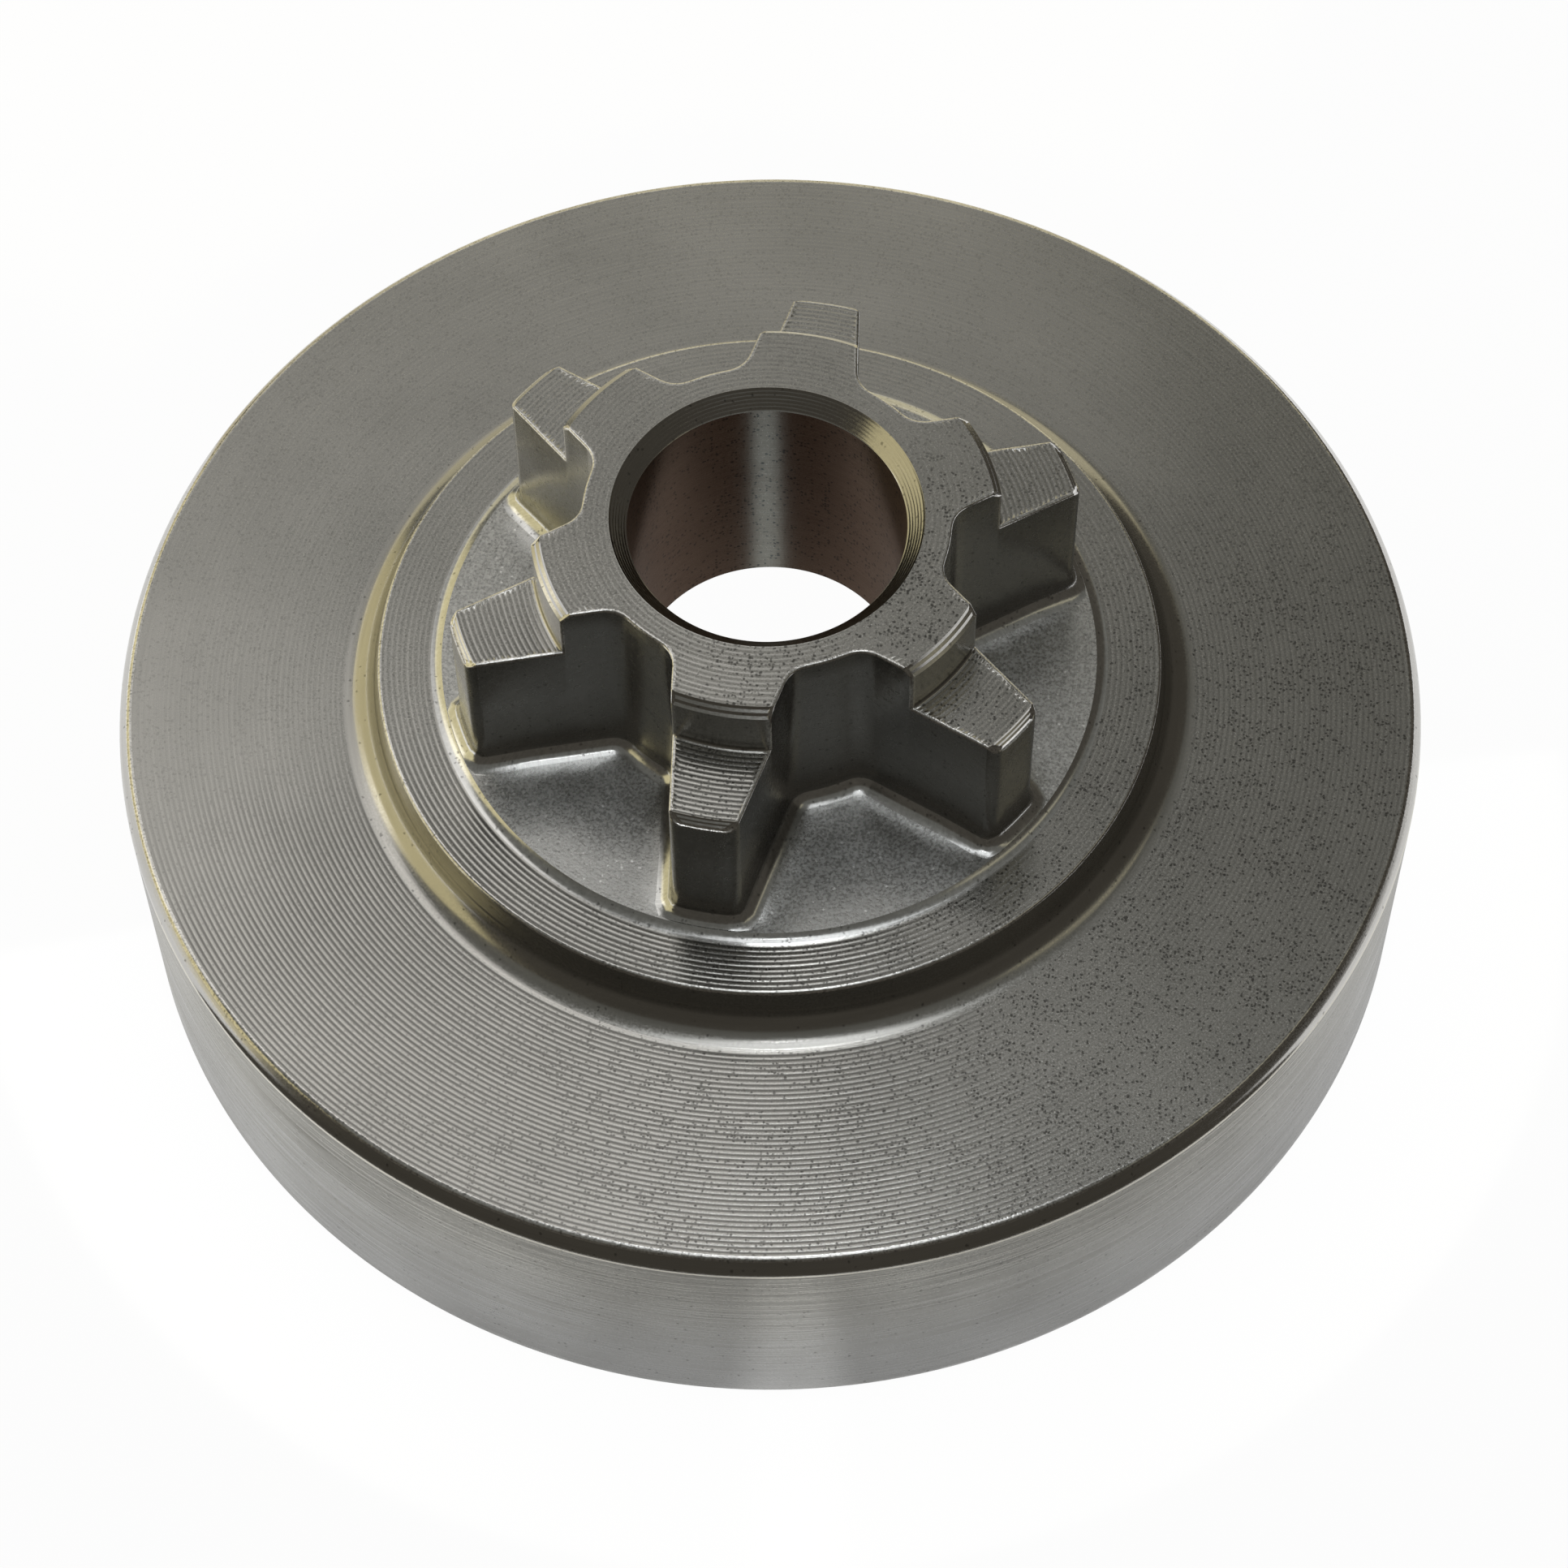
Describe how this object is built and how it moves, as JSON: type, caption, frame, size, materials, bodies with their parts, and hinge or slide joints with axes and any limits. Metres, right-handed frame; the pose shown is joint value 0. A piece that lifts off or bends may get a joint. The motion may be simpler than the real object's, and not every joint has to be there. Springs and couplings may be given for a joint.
{
  "type": "chainsaw clutch drum sprocket",
  "caption": "Steel clutch drum with an integral toothed spur sprocket on a raised boss and a plain bore for a needle cage; drives a saw chain.",
  "frame": {"origin": "centre of the rim's lower edge, on the turning axis", "axes": "+Z along the turning axis from the drum's open rim to the sprocket, with one pair of teeth on the Y axis"},
  "size_m": [0.0636, 0.0634, 0.0274],
  "materials": {
    "steel": "bare steel: turned rings on the machined faces, rough forged floor between the teeth"
  },
  "bodies": {
    "root": {"clutch_drum_sprocket": "steel"}
  },
  "joints": []
}
